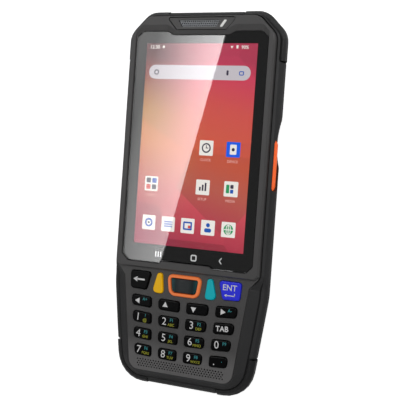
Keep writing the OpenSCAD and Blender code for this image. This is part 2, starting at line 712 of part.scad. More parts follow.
module key_cap(c) {
    loft([lift(rounded(c), cap_under), lift(rounded(c), key_z - 0.35),
        lift(rounded(inset(c, 0.15)), key_z - 0.12), lift(rounded(inset(c, 0.5)), key_z)]);
    slab(inset(c, -key_gap - flange_w), cap_under - flange_t, cap_under);
}
key_black = [0.06, 0.06, 0.065];
module number_cap(row, column) color(key_black) key_cap(number_key(row, column));
module mirrored_cap(row, column) color(key_black) key_cap(mirrored(number_key(row, column)));
module scan_ring() color([0.93, 0.35, 0.12]) difference() {
    union() {
        loft([lift(rounded(ring_outline()), cap_under), lift(rounded(ring_outline()), key_z - 0.3),
            lift(rounded(inset(ring_outline(), 0.3)), key_z + 0.1)]);
        slab(inset(ring_outline(), -0.5), cap_under - flange_t, cap_under);
    }
    slab(inset(ring_outline(), ring_wall), cap_under - 2, key_z + 1);
}
module scan_key() color([0.16, 0.17, 0.18]) {
    slab(inset(ring_outline(), ring_wall + key_gap), cap_under - flange_t, cap_under);
    loft([lift(rounded(inset(ring_outline(), ring_wall + key_gap)), cap_under),
        lift(rounded(inset(ring_outline(), ring_wall + key_gap)), key_z - 0.5),
        lift(rounded(inset(ring_outline(), ring_wall + key_gap + 0.3)), key_z - 0.2)]);
}
module back_key() color(key_black) key_cap(mirrored(command_key()));
module enter_key() color([0.16, 0.17, 0.85]) key_cap(command_key());
module yellow_key() color([0.9, 0.68, 0.1]) key_cap(mirrored(leaf_key()));
module cyan_key() color([0.1, 0.65, 0.7]) key_cap(leaf_key());
module left_key() mirrored_cap(0, 1);
module up_key() mirrored_cap(0, 0);
module down_key() number_cap(0, 0);
module right_key() number_cap(0, 1);
module key_1() mirrored_cap(1, 1);
module key_2() mirrored_cap(1, 0);
module key_3() number_cap(1, 0);
module tab_key() number_cap(1, 1);
module key_4() mirrored_cap(2, 1);
module key_5() mirrored_cap(2, 0);
module key_6() number_cap(2, 0);
module key_0() number_cap(2, 1);
module key_7() mirrored_cap(3, 1);
module key_8() mirrored_cap(3, 0);
module key_9() number_cap(3, 0);
module point_key() number_cap(3, 1);

mat_end = rows_end - 0.6;
function mat_outline() = both_sides([
    [deck_x(mat_end) - deck_wall - 0.2, mat_end, 1, 2],
    [deck_half - deck_wall - 0.2, rim_y - 0.4, 1, 2]]);
module keypad_mat() color([0.35, 0.35, 0.37]) union() {
    slab(mat_outline(), mat_z0, mat_z1);
    // pillars between the columns press against the deck
    for (s = [-1, 1], row = [0:3]) let (y = rows_y - row * row_pitch - key_h / 2)
        translate([s * (second_x(y) - column_gap / 2), y, mat_z0]) cylinder(d = 1.2, h = deck_under - mat_z0);
}
module keypad_board() color([0.1, 0.35, 0.18])
    slab(mat_outline(), mat_z0 - pad_board_t, mat_z0);

// ---------- inside ----------

module loudspeaker() color([0.2, 0.2, 0.21]) union() {
    slab(rect(-18, 2, tail_y0 + 1.4, tail_y1 - 0.3, 2), 3.2, 9.6);
    translate([-8, (tail_y0 + tail_y1) / 2, 9.6]) cylinder(d = 13, h = 1.2);
}
module vibration_motor() color([0.7, 0.7, 0.72]) translate([12, tail_y1 - 4.5, 3.2]) cylinder(d = 8, h = 3.2);
module main_board() color([0.08, 0.3, 0.16]) union() {
    slab(rect(9.7 - side, side - 9.7, board_y0, board_y1, 2), board_z0, board_z0 + board_t);
    // chips and the display connector
    block(12, 22, -30, -20, board_z0 + board_t, board_z0 + board_t + 1);
    block(-22, -10, -34, -22, board_z0 + board_t, board_z0 + board_t + 0.9);
    block(-8, 8, -40, -37, board_z0 + board_t, board_z0 + board_t + 1);
}
module shield_cans() color([0.75, 0.75, 0.77])
    for (y = [-10, 22]) slab(rect(14.7 - side, side - 14.7, y, y + 26, 1), board_z0 + board_t, board_z0 + board_t + 1.8);

module battery_pack() color([0.16, 0.16, 0.17])
    slab(rect(-battery_w / 2, battery_w / 2, bay_y0 + 0.5, bay_y0 + 0.5 + battery_l, 2),
        cover_z1 + swing_gap, cover_z1 + swing_gap + battery_t);
module battery_contacts() color([0.85, 0.68, 0.3])
    for (i = [-1.5:1.5]) block(i * 4 - 0.8, i * 4 + 0.8, bay_y1 - 0.9, bay_y1, 5, 9);
module cover_pivots(r, l) translate([-cover_w / 2 - l, cover_y1 - cover_t / 2, cover_z0 + cover_t / 2])
    rotate([0, 90, 0]) cylinder(r = r, h = cover_w + 2 * l);
// Nearly sharp at the hinge end, so that the cover clears its seat as it swings out
function cover_outline() = both_sides([[cover_w / 2, cover_y0, 2.7, 4], [cover_w / 2, cover_y1, 0.6, 2]]);
module battery_cover() color([0.13, 0.13, 0.14]) difference() {
    union() {
        slab(cover_outline(), cover_z0, cover_z1);
        // pivots at the hinge end
        cover_pivots(pivot_r, pivot_l);
    }
    // seat of the latch
    block(-latch_w / 2 - cover_gap, latch_w / 2 + cover_gap, cover_y0 - 2, latch_y1 + cover_gap,
        -1, cover_z1 + 1);
    // shallow grip grooves
    for (i = [0:4]) block(-14, 14, cover_y1 - 10 - i * 2, cover_y1 - 9 - i * 2, -1, cover_z0 + 0.3);
}
module battery_latch() color([0.8, 0.33, 0.1]) difference() {
    slab(rect(-latch_w / 2, latch_w / 2, latch_y0, latch_y1, 0.8), cover_z0, cover_z1);
    for (i = [0:2]) block(-5, 5, latch_y0 + 1.4 + i * 1.3, latch_y0 + 2 + i * 1.3, -1, cover_z0 + 0.4);
}

module scan_engine() color([0.09, 0.09, 0.1]) difference() {
    block(-engine_w / 2, engine_w / 2, engine_y0, engine_y1, engine_z0, engine_z1);
    // sunk round the lens and the aimer
    translate([-5, engine_y1 + 1, window_z]) rotate([90, 0, 0]) cylinder(d = 5.4, h = 3);
    translate([5, engine_y1 + 1, window_z]) rotate([90, 0, 0]) cylinder(d = 3.4, h = 2.4);
}
module scan_window() color([0.35, 0.02, 0.04, 0.6])
    block(-window_w / 2, window_w / 2, engine_y1 + 0.3, end_y - 1.4,
        window_z - window_h / 2, window_z + window_h / 2);

// ---------- side controls ----------

function trigger_outline(d) = inset([
    [trigger_y - trigger_l / 2 + 3.2, trigger_z - trigger_h / 2, 2, 3],
    [trigger_y + trigger_l / 2 - 3.2, trigger_z - trigger_h / 2, 2, 3],
    [trigger_y + trigger_l / 2, trigger_z + trigger_h / 2, 1.2, 3],
    [trigger_y - trigger_l / 2, trigger_z + trigger_h / 2, 1.2, 3]], -d);
// Rounded face of a trigger, [inset, height], a little below the wall round it
trigger_face = [[2.3, 11], [1.5, 13], [1.2, 14.8], [1.4, 16.5], [2.2, 18.2]];
// Turns an outline drawn in [y, z] to stand on the side wall, from depth a to depth b
module on_side(s, c, a, b) {
    mirror([s < 0 ? 1 : 0, 0, 0])
        translate([side - b, 0, 0]) rotate([90, 0, 90]) linear_extrude(b - a) polygon(rounded(c));
}
module trigger_hole(s, gap) on_side(s, trigger_outline(gap), -2, ledge + wall + 1.5);
module trigger_room(s) on_side(s, rect(trigger_y - trigger_l / 2 - 0.8, trigger_y + trigger_l / 2 + 0.8,
    trigger_z - trigger_h / 2 - 1.3, seam_z + 1, 1), ledge + wall - 0.01, ledge + wall + room_depth);
module trigger(s) mirror([s < 0 ? 1 : 0, 0, 0]) {
    intersection() {
        on_side(1, trigger_outline(0), 0, flange_a);
        translate([0, trigger_y + trigger_l, 0]) rotate([90, 0, 0]) linear_extrude(2 * trigger_l)
            polygon(concat([[side - 9, 8]], [for (q = trigger_face) [side - q[0], q[1]]],
                [[side - 9, 20]]));
    }
    // flange inside the wall
    on_side(1, rect(trigger_y - trigger_l / 2, trigger_y + trigger_l / 2, trigger_z - trigger_h / 2 - 0.7,
        trigger_z + trigger_h / 2 - 0.5, 1), flange_a, flange_a + flange_depth);
}
module trigger_left() color([0.93, 0.33, 0.08]) trigger(-1);
module trigger_right() color([0.93, 0.33, 0.08]) trigger(1);
module side_switches() color([0.6, 0.6, 0.62]) {
    for (s = [-1, 1]) on_side(s, rect(trigger_y - 2, trigger_y + 2, trigger_z - 1.5, trigger_z + 0.8, 0.3),
        flange_a + flange_depth + trigger_travel + 0.1, ledge + wall + room_depth);
    for (y = [power_y, volume_y - 4, volume_y + 4])
        on_side(-1, rect(y - 1.5, y + 1.5, side_key_z - 1.2, side_key_z + 1.2, 0.3),
            flange_a + flange_depth + trigger_travel + 0.1, ledge + wall + room_depth);
}
function side_key_outline(y, l, d) = rect(y - l / 2 - d, y + l / 2 + d,
    side_key_z - side_key_h / 2 - d, side_key_z + side_key_h / 2 + d, 1.1 + d);
module side_key_hole(y, l, gap) on_side(-1, side_key_outline(y, l, gap), -2, ledge + wall + 1);
module side_key_room(y, l) on_side(-1, side_key_outline(y, l, 1.3), ledge + wall - 0.01, ledge + wall + room_depth);
module side_key(y, l) {
    on_side(-1, side_key_outline(y, l, 0), side_key_face + 0.3, flange_a);
    on_side(-1, side_key_outline(y, l, -0.3), side_key_face, side_key_face + 0.3);
    on_side(-1, side_key_outline(y, l, 0.8), flange_a, flange_a + flange_depth);
}
module power_key() color([0.2, 0.2, 0.21]) side_key(power_y, power_l);
module volume_key() color([0.2, 0.2, 0.21]) union() {
    side_key(volume_y, volume_l);
    // round rib that the key rocks on
    translate([-(side - flange_a - flange_depth / 2), volume_y, side_key_z - side_key_h / 2 - 0.8])
        cylinder(r = rocker_r, h = side_key_h + 1.6);
}

// ---------- tail port ----------

function port_outline(d) = rect(-port_w / 2 - d, port_w / 2 + d,
    port_z - port_h / 2 - d, port_z + port_h / 2 + d, 1.2 + d);
// Stands an outline drawn in [x, z] on the tail end, from depth a to depth b
module on_tail(c, a, b) {
    translate([0, -end_y + b, 0]) rotate([90, 0, 0]) linear_extrude(b - a) polygon(rounded(c));
}
module port_recess(gap) on_tail(port_outline(cover_gap + gap), -2, 2.7 + gap);
module port_pin(r, l) translate([-port_w / 2 - cover_gap - l, port_hinge_y, port_hinge_z])
    rotate([0, 90, 0]) cylinder(r = r, h = port_w + 2 * (cover_gap + l));
module port_cover() color([0.1, 0.1, 0.11]) difference() {
    union() {
        on_tail(port_outline(0), 0.2, 0.2 + port_t);
        // plug that closes the connector
        on_tail(rect(-3.9, 3.9, port_z - 1, port_z + 1, 0.9), 0.2 + port_t, 2.5);
        translate([-knuckle_w / 2, port_hinge_y, port_hinge_z]) rotate([0, 90, 0])
            cylinder(r = hinge_r + 0.45, h = knuckle_w);
    }
    for (s = [-1, 1]) block(s > 0 ? knuckle_w / 2 : -port_w, s > 0 ? port_w : -knuckle_w / 2,
        port_hinge_y - hinge_r - 0.2, port_hinge_y + 2, port_hinge_z - 2, port_hinge_z + hinge_r + 0.2);
    translate([-port_w, port_hinge_y, port_hinge_z]) rotate([0, 90, 0])
        cylinder(r = hinge_r + pin_gap, h = 2 * port_w);
}
module port_hinge_pin() color([0.6, 0.6, 0.62])
    port_pin(hinge_r, 1);
module usb_connector() color([0.78, 0.78, 0.8]) difference() {
    block(-usb_w / 2, usb_w / 2, -end_y + 2.8, tail_y0 + 1, port_z - usb_h / 2, port_z + usb_h / 2);
    on_tail(rect(-4, 4, port_z - 1.1, port_z + 1.1, 0.9), 1, 8);
}

// ---------- camera, flash and screws ----------

module camera_module() color([0.1, 0.1, 0.11]) difference() {
    block(camera_x - camera_w / 2, camera_x + camera_w / 2, camera_y - camera_w / 2,
        camera_y + camera_w / 2, camera_t + 0.2, tub_floor);
    translate([camera_x, camera_y, camera_t]) cylinder(d = 4.6, h = 2);
}
module camera_window() color([0.05, 0.06, 0.08, 0.7])
    translate([camera_x, camera_y, 0.3]) cylinder(d = camera_d + 0.2, h = camera_t - 0.3);
module flash_lens() color([0.95, 0.93, 0.8])
    translate([flash_x, camera_y, 0.3]) cylinder(d = flash_d, h = 1.7);
function screw_places() = [for (s = [-1, 1], p = [[26.5, 65], [26.8, cover_y1 + 5.5], [23.3, -65]]) [s * p.x, p.y]];
module screws() color([0.5, 0.5, 0.52]) for (p = screw_places()) translate([p.x, p.y, 0]) difference() {
    union() {
        translate([0, 0, 0.4]) cylinder(d = screw_head, h = screw_sink - 0.4);
        translate([0, 0, screw_sink - 0.1]) cylinder(d = screw_d, h = 9);
    }
    translate([0, 0, -0.1]) cylinder(d = 1.6, h = 1.2, $fn = 6);
}

front_housing();
rubber_frame();
back_housing();
bumper_top_left();
bumper_top_right();
bumper_tail_left();
bumper_tail_right();
cover_glass();
screen_mask();
display_panel();
earpiece_panel();
earpiece_grille();
status_lens();
earpiece();
scan_ring();
scan_key();
back_key();
yellow_key();
cyan_key();
enter_key();
left_key();
up_key();
down_key();
right_key();
key_1();
key_2();
key_3();
tab_key();
key_4();
key_5();
key_6();
key_0();
key_7();
key_8();
key_9();
point_key();
keypad_mat();
keypad_board();
loudspeaker();
main_board();
shield_cans();
battery_pack();
battery_cover();
battery_latch();
battery_contacts();
scan_engine();
scan_window();
trigger_left();
trigger_right();
side_switches();
power_key();
volume_key();
port_cover();
port_hinge_pin();
usb_connector();
camera_module();
camera_window();
flash_lens();
screws();
vibration_motor();
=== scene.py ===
# %% [markdown]
# # A hand-held data terminal, dressed for its picture
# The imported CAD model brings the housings, keys, covers and all that moves. This lesson gives each
# of them its finish, prints the legends on the keys, lights up the screen and sets up a small studio.
# Everything is in metres, in the frame of the CAD model: +X to the right of the screen, +Y up to the
# earpiece and +Z out of the screen.

import bpy
import math
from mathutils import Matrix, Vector


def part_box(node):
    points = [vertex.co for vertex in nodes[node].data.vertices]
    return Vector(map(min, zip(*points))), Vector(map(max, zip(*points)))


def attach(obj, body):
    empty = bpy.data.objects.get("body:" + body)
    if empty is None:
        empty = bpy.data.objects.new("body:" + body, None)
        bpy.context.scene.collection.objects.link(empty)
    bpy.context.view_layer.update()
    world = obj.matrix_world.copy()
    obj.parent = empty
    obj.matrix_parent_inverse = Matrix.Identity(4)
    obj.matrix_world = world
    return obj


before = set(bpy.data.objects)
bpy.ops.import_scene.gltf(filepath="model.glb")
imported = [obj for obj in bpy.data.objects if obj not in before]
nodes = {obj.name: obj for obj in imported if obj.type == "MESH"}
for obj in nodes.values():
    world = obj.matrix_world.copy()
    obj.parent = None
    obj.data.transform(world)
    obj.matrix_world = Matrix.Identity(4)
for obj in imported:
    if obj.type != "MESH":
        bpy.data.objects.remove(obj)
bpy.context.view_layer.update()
MM = 0.001


def clear_selection():
    bpy.ops.object.select_all(action="DESELECT")


clear_selection()

# %% [markdown]
# ## The camera
# A long lens looks down on the screen from its right side, about 0.4 m away. It comes before the
# pieces, so that every one of them can be judged in the frame it will be seen in.

# %% Place the camera
eye = Vector((0.1754, 0.0115, 0.3740))
eye_turn = [math.radians(angle) for angle in (0.366, 25.833, 4.439)]
lens_length = 83.4
film_width = 36
nearest_seen = 0.02
bpy.ops.object.camera_add(location=eye, rotation=eye_turn)
camera = bpy.context.object
camera.name = "picture_camera"
camera.data.sensor_width = film_width
camera.data.lens = lens_length
camera.data.clip_start = nearest_seen
bpy.context.scene.camera = camera
print("camera", round(eye.length, 3), "m from the middle of the footprint")

# %% [markdown]
# ## Wiring a shader
# Every finish, lamp sheet and surround below is a small tree of nodes. Making a node, setting its
# inputs and linking them are the same three steps each time, so a few helpers take them over. An input
# is given either a plain value or the socket that it is linked to.


# %% Helpers for shader trees
def plug(tree, node, inputs):
    """Set each input of the node, or link it to the socket that is given for it."""
    for slot, value in inputs.items():
        if isinstance(value, bpy.types.NodeSocket):
            tree.links.new(value, node.inputs[slot])
        else:
            node.inputs[slot].default_value = value


def add_node(tree, kind, inputs, **settings):
    """A shader node of the kind, with its settings made and its inputs plugged."""
    node = tree.nodes.new("ShaderNode" + kind)
    for setting, value in settings.items():
        setattr(node, setting, value)
    plug(tree, node, inputs)
    return node


def maths(tree, operation, first, second):
    """The result of a Math node; each side is a socket or a number."""
    return add_node(tree, "Math", {0: first, 1: second}, operation=operation).outputs["Value"]


def empty_tree(owner):
    """The node tree of a world or a material, with nothing in it yet."""
    owner.use_nodes = True
    owner.node_tree.nodes.clear()
    return owner.node_tree


def new_finish(name):
    """A new material, its tree and the Principled shader in it."""
    finish = bpy.data.materials.new(name)
    finish.use_nodes = True
    return finish, finish.node_tree, finish.node_tree.nodes["Principled BSDF"]


print("wiring helpers ready")

# %% [markdown]
# ## The studio
# A white table and a white surround, lit softly. The lamps stay at a plain level, so that a colour
# comes out about as it is written. One long card of light hangs to the left. The glass mirrors its
# straight edge, which gives the slanted sheen of a real cover glass without painting anything.

# %% Make the white room
WHITE = (1, 1, 1, 1)
room_strength = 0.2
seen_strength = 1.0
scene = bpy.context.scene
scene.view_settings.view_transform = "Standard"
world = bpy.data.worlds.new("white_room")
scene.world = world
room = empty_tree(world)
room_path = add_node(room, "LightPath", {})
room_light = add_node(room, "Background", {"Color": WHITE, "Strength": room_strength})
room_seen = add_node(room, "Background", {"Color": WHITE, "Strength": seen_strength})
room_mix = add_node(room, "MixShader", {
    "Fac": room_path.outputs["Is Camera Ray"],
    1: room_light.outputs["Background"],
    2: room_seen.outputs["Background"],
})
add_node(room, "OutputWorld", {"Surface": room_mix.outputs["Shader"]})
print("the room gives", room_strength, "and looks", seen_strength)


# %% Hang the lamps
def soft_box(name, place, aim, size, glow):
    """A rectangular lamp of the given radiance that faces the aim."""
    turn = (Vector(aim) - Vector(place)).to_track_quat("-Z", "Y").to_euler()
    bpy.ops.object.light_add(type="AREA", location=place, rotation=turn)
    lamp = bpy.context.object
    lamp.name = name
    lamp.data.shape = "RECTANGLE"
    lamp.data.size, lamp.data.size_y = size
    lamp.data.energy = glow * math.pi * size[0] * size[1]


soft_box("ceiling_light", place=(0.45, 0.35, 0.9), aim=(0, 0, 0), size=(0.7, 0.7), glow=2.3)
soft_box("low_fill", place=(0.3, -0.9, 0.5), aim=(0, 0, 0), size=(0.6, 0.5), glow=0.5)
soft_box("side_light", place=(0.24, 0.22, 0.07), aim=(0.02, 0.07, 0.015), size=(0.12, 0.08), glow=3.6)

# %% Hang the card of light
# The card's right edge runs through this place, turned a little clockwise as seen from above
card_edge = Vector((-0.214, 0.034, 0.45))
card_turn = (0, 0, math.radians(-13.3))
card_wide, card_low, card_high = 0.12, -0.145, 0.24
bpy.ops.mesh.primitive_plane_add(size=1, location=(0, 0, 0))
card = bpy.context.object
card.name = "sheen_card"
card.scale = (card_wide, card_high - card_low, 1)
card.location = (-card_wide / 2, (card_high + card_low) / 2, 0)
bpy.ops.object.transform_apply(location=True, rotation=True, scale=True)
card.rotation_euler = card_turn
card.location = card_edge
bpy.ops.object.transform_apply(location=True, rotation=True, scale=True)
print("card", card_wide, "m by", round(card_high - card_low, 3), "m")

# %% Make the card glow
# It glows most along its right edge and towards its upper end, and fades to the left and downwards
card_glow = bpy.data.materials.new("card_glow")
glow_tree = empty_tree(card_glow)
glow_place = add_node(glow_tree, "TexCoord", {})
glow_turn = add_node(glow_tree, "Mapping", {
    "Vector": glow_place.outputs["Object"],
    "Location": card_edge,
    "Rotation": card_turn,
}, vector_type="TEXTURE")
glow_split = add_node(glow_tree, "SeparateXYZ", {"Vector": glow_turn.outputs["Vector"]})
glow_across = add_node(glow_tree, "MapRange", {
    "Value": glow_split.outputs["X"],
    "From Min": -0.07, "From Max": -0.005, "To Min": 2.2, "To Max": 7.6,
})
glow_rise = add_node(glow_tree, "MapRange", {
    "Value": glow_split.outputs["Y"],
    "From Min": -0.1, "From Max": 0.12, "To Min": 0.56, "To Max": 1.0,
})
glow_both = maths(glow_tree, "MULTIPLY", glow_across.outputs["Result"], glow_rise.outputs["Result"])
glow_lamp = add_node(glow_tree, "Emission", {"Strength": glow_both})
add_node(glow_tree, "OutputMaterial", {"Surface": glow_lamp.outputs["Emission"]})
card.data.materials.append(card_glow)
print("card lit by", len(glow_tree.nodes), "nodes")

# %% [markdown]
# ## The table
# A matt white sheet takes the shadow of what stands on it. Lit at this plain level it would look grey,
# and more light would wash out the object. So the sheet glows as well, but only where the camera sees
# it directly.

# %% Lay the table
table_size = 6
table_drop = 0.0002
paper_colour = (0.82, 0.82, 0.82, 1)
paper_seen = 0.8
bpy.ops.mesh.primitive_plane_add(size=table_size, location=(0, 0, -table_drop))
table = bpy.context.object
table.name = "table"
table_paper = bpy.data.materials.new("table_paper")
paper = empty_tree(table_paper)
paper_path = add_node(paper, "LightPath", {})
paper_level = add_node(paper, "MapRange", {
    "Value": paper_path.outputs["Is Camera Ray"],
    "To Max": paper_seen,
})
paper_sheet = add_node(paper, "BsdfDiffuse", {"Color": paper_colour})
paper_glow = add_node(paper, "Emission", {
    "Color": WHITE,
    "Strength": paper_level.outputs["Result"],
})
paper_both = add_node(paper, "AddShader", {
    0: paper_sheet.outputs["BSDF"],
    1: paper_glow.outputs["Emission"],
})
add_node(paper, "OutputMaterial", {"Surface": paper_both.outputs["Shader"]})
table.data.materials.append(table_paper)
print("table", table_size, "m wide")

# %% [markdown]
# ## Effects that many finishes share
# Moulded plastic is never one flat colour. Its mould was spark-eroded, which leaves a fine grain, the
# pigment is slightly uneven, and hands polish it in patches. Each effect is one node group with its
# own inputs. A group only gives out values, and the Principled shader stays in the material.


# %% Helpers for colours and groups
def ink(red, green, blue):
    """A colour given as it looks on a screen, turned into linear light."""
    def linear(v):
        v /= 255
        return v / 12.92 if v <= 0.04045 else ((v + 0.055) / 1.055) ** 2.4

    return (linear(red), linear(green), linear(blue), 1)


def shared_group(name, inputs, outputs):
    """A node group with the named inputs and outputs; it comes with its two end nodes."""
    group = bpy.data.node_groups.new(name, "ShaderNodeTree")
    for label, value in inputs:
        socket = group.interface.new_socket(name=label, in_out="INPUT", socket_type="NodeSocketFloat")
        socket.default_value = value
    for label, kind in outputs:
        group.interface.new_socket(name=label, in_out="OUTPUT", socket_type=kind)
    return group, group.nodes.new("NodeGroupInput"), group.nodes.new("NodeGroupOutput")


print("a mid grey is", round(ink(128, 128, 128)[0], 3), "in linear light")

# %% Grain: a height for the bump, and a slow mottle of the pigment
fine_grain = 9000.0
pits_to_grain = 0.6
grain_group, grain_in, grain_out = shared_group(
    "moulded_grain",
    [("Scale", fine_grain)],
    [("Height", "NodeSocketFloat"), ("Mottle", "NodeSocketFloat")],
)
grain_place = add_node(grain_group, "TexCoord", {}).outputs["Object"]
grain_scale = grain_in.outputs["Scale"]
grain_fine = add_node(grain_group, "TexNoise", {
    "Vector": grain_place, "Scale": grain_scale, "Detail": 3})
grain_pits = add_node(grain_group, "TexVoronoi", {
    "Vector": grain_place, "Scale": maths(grain_group, "MULTIPLY", grain_scale, pits_to_grain)})
grain_slow = add_node(grain_group, "TexNoise", {
    "Vector": grain_place, "Scale": 70, "Detail": 4})
pit_depth = maths(grain_group, "MULTIPLY", grain_pits.outputs["Distance"], 0.5)
plug(grain_group, grain_out, {
    "Height": maths(grain_group, "ADD", grain_fine.outputs["Fac"], pit_depth),
    "Mottle": grain_slow.outputs["Fac"],
})
print("grain group of", len(grain_group.nodes), "nodes")

# %% Handling: patches that hands have polished, and fine hairline scratches
handling_group, handling_in, handling_out = shared_group(
    "handling_marks", [("Roughness", 0.4), ("Spread", 0.1)], [("Roughness", "NodeSocketFloat")]
)
handling_place = add_node(handling_group, "TexCoord", {}).outputs["Object"]
handling_patch = add_node(handling_group, "TexNoise", {
    "Vector": handling_place, "Scale": 45, "Detail": 5})
handling_stretch = add_node(handling_group, "Mapping", {
    "Vector": handling_place, "Scale": (1, 0.06, 1), "Rotation": (0, 0, 0.6)})
handling_line = add_node(handling_group, "TexNoise", {
    "Vector": handling_stretch.outputs["Vector"], "Scale": 2600})
patch = maths(handling_group, "SUBTRACT", handling_patch.outputs["Fac"], 0.5)
line = maths(handling_group, "SUBTRACT", handling_line.outputs["Fac"], 0.5)
line = maths(handling_group, "MULTIPLY", line, 0.4)
marks = maths(handling_group, "ADD", patch, line)
marks = maths(handling_group, "MULTIPLY", marks, handling_in.outputs["Spread"])
marks = maths(handling_group, "ADD", marks, handling_in.outputs["Roughness"])
plug(handling_group, handling_out, {"Roughness": marks})
print("groups:", [g.name for g in bpy.data.node_groups])

# %% [markdown]
# ## The finishes
# One helper builds a moulded finish from the two groups. Its colour swings a little round the
# pigment, its roughness follows the handling, and its bump follows the grain. What is the same all
# over the surface is written straight into the shader's own sockets.


# %% A helper for moulded finishes
def moulded(name, colour, rough, grain=fine_grain, depth=0.00001, spread=0.12, mottle=0.12,
            coat=0.0, bump=0.35, shine=0.5):
    """A moulded surface. Spread is how far handling shifts the roughness, and mottle how far the
    colour swings; grain, depth and bump set the texture, coat the lacquer and shine the gloss."""
    finish, tree, shader = new_finish(name)
    grains = add_node(tree, "Group", {"Scale": grain}, node_tree=grain_group)
    handled = add_node(tree, "Group", {
        "Roughness": rough, "Spread": spread}, node_tree=handling_group)
    blend = add_node(tree, "Mix", {
        "Factor": grains.outputs["Mottle"],
        "A": tuple(c * (1 - mottle) for c in colour[:3]) + (1,),
        "B": tuple(min(c * (1 + mottle), 1) for c in colour[:3]) + (1,),
    }, data_type="RGBA")
    relief = add_node(tree, "Bump", {
        "Strength": bump, "Distance": depth, "Height": grains.outputs["Height"]})
    plug(tree, shader, {
        "Base Color": blend.outputs["Result"],
        "Roughness": handled.outputs["Roughness"],
        "Normal": relief.outputs["Normal"],
        "Specular IOR Level": shine,
        "Coat Weight": coat,
        "Coat Roughness": 0.08,
    })
    return finish


def metallic(name, colour, rough):
    finish = moulded(name, colour, rough, depth=0.000004, spread=0.15, mottle=0.06)
    finish.node_tree.nodes["Principled BSDF"].inputs["Metallic"].default_value = 1.0
    return finish


def put_on(finish, *names):
    for name in names:
        piece = nodes[name]
        if not piece.material_slots:
            piece.data.materials.append(finish)
        for slot in piece.material_slots:
            slot.material = finish
    print(finish.name, "on", len(names), "pieces")


# %% [markdown]
# ## Housings, rubber and bumpers
# The front is a hard grey moulding, the frame round it a soft black overmould, and the bumpers are a
# smoother rubber. How rough they are and how fine their grain is tells them apart, far more than
# their colour does, so each is one call of the helper with its own values.

# %% Housings, rubber and bumpers
shell_grey = moulded("shell_grey", ink(76, 75, 75), 0.46, grain=7000, spread=0.1)
rubber_black = moulded("rubber_black", ink(38, 38, 39), 0.55, grain=11000, spread=0.14)
bumper_black = moulded("bumper_black", ink(27, 27, 28), 0.4, grain=11000)
shell_black = moulded("shell_black", ink(44, 44, 46), 0.5, grain=5000, depth=0.00002)
put_on(shell_grey, "front_housing", "earpiece_panel")
put_on(rubber_black, "rubber_frame", "port_cover")
put_on(bumper_black, "bumper_top_left", "bumper_top_right", "bumper_tail_left", "bumper_tail_right")
put_on(shell_black, "back_housing", "battery_cover", "loudspeaker")

# %% [markdown]
# ## A painted highlight at the end of the deck
# The tail end of the deck, round the sound holes, gets a painted highlight: a paler pigment stands in
# for the light it catches. A group measures how near a point is to that end and gives out a factor,
# which scales the pigment. It only counts between a lower and an upper height, so that the rim and the
# seam keep their colour.

# %% Paint a highlight on the deck round the sound holes
deck_floor = 0.0198
highlight_group, highlight_in, highlight_out = shared_group(
    "deck_painted_highlight",
    [("Start", -0.061), ("End", -0.068), ("Top", 0.0205), ("Lift", 0.9)],
    [("Factor", "NodeSocketFloat")],
)
highlight_place = add_node(highlight_group, "TexCoord", {})
highlight_split = add_node(highlight_group, "SeparateXYZ", {"Vector": highlight_place.outputs["Object"]})
highlight_range = add_node(highlight_group, "MapRange", {
    "Value": highlight_split.outputs["Y"],
    "From Min": highlight_in.outputs["Start"],
    "From Max": highlight_in.outputs["End"],
})
below_top = maths(highlight_group, "LESS_THAN", highlight_split.outputs["Z"], highlight_in.outputs["Top"])
above_floor = maths(highlight_group, "GREATER_THAN", highlight_split.outputs["Z"], deck_floor)
on_deck = maths(highlight_group, "MULTIPLY", below_top, above_floor)
highlight_amount = maths(highlight_group, "MULTIPLY", highlight_range.outputs["Result"], on_deck)
highlight_amount = maths(highlight_group, "MULTIPLY", highlight_amount, highlight_in.outputs["Lift"])
plug(highlight_group, highlight_out, {"Factor": maths(highlight_group, "ADD", highlight_amount, 1.0)})
# The factor paints a highlight: it makes the pigment paler towards the tail end of the deck
shell_tree = shell_grey.node_tree
shell_shader = shell_tree.nodes["Principled BSDF"]
painted_highlight = add_node(shell_tree, "Group", {}, node_tree=highlight_group)
highlighted = add_node(shell_tree, "VectorMath", {
    0: shell_shader.inputs["Base Color"].links[0].from_socket,
    "Scale": painted_highlight.outputs["Factor"],
}, operation="SCALE")
plug(shell_tree, shell_shader, {"Base Color": highlighted.outputs["Vector"]})
print("the deck is lifted by a group of", len(highlight_group.nodes), "nodes")


# %% [markdown]
# ## Keys, buttons and triggers
# Key caps come from a finer and glossier mould than the housing. They differ mostly in pigment, so one
# helper makes them all. The orange, yellow and teal parts get a painted glow: a little emission of the
# same colour makes them brighter than the light that falls on them, without more lamps.


# %% Keys and buttons
def cap_plastic(name, colour, **extra):
    """The finer, glossier plastic of a key cap."""
    return moulded(name, colour, 0.3, grain=12000, depth=0.000004, **extra)


key_black = cap_plastic("key_black", ink(3, 3, 4), spread=0.1, shine=0.12)
key_yellow = cap_plastic("key_yellow", ink(252, 190, 0), shine=0.3)
key_cyan = cap_plastic("key_cyan", ink(0, 186, 198), shine=0.35)
key_blue = cap_plastic("key_blue", ink(50, 56, 255), shine=0.3)
ring_orange = cap_plastic("ring_orange", ink(255, 134, 70))
trigger_orange = moulded("trigger_orange", ink(255, 104, 26), 0.38)
side_black = moulded("side_black", ink(48, 48, 50), 0.45)
number_keys = ["key_%d" % n for n in range(10)] + ["tab_key", "point_key", "left_key", "right_key"]
number_keys += ["up_key", "down_key", "back_key"]
put_on(key_black, *number_keys)
put_on(key_yellow, "yellow_key")
put_on(key_cyan, "cyan_key")
put_on(key_blue, "enter_key")
put_on(ring_orange, "scan_ring")
put_on(trigger_orange, "trigger_left", "trigger_right", "battery_latch")
put_on(side_black, "power_key", "volume_key")
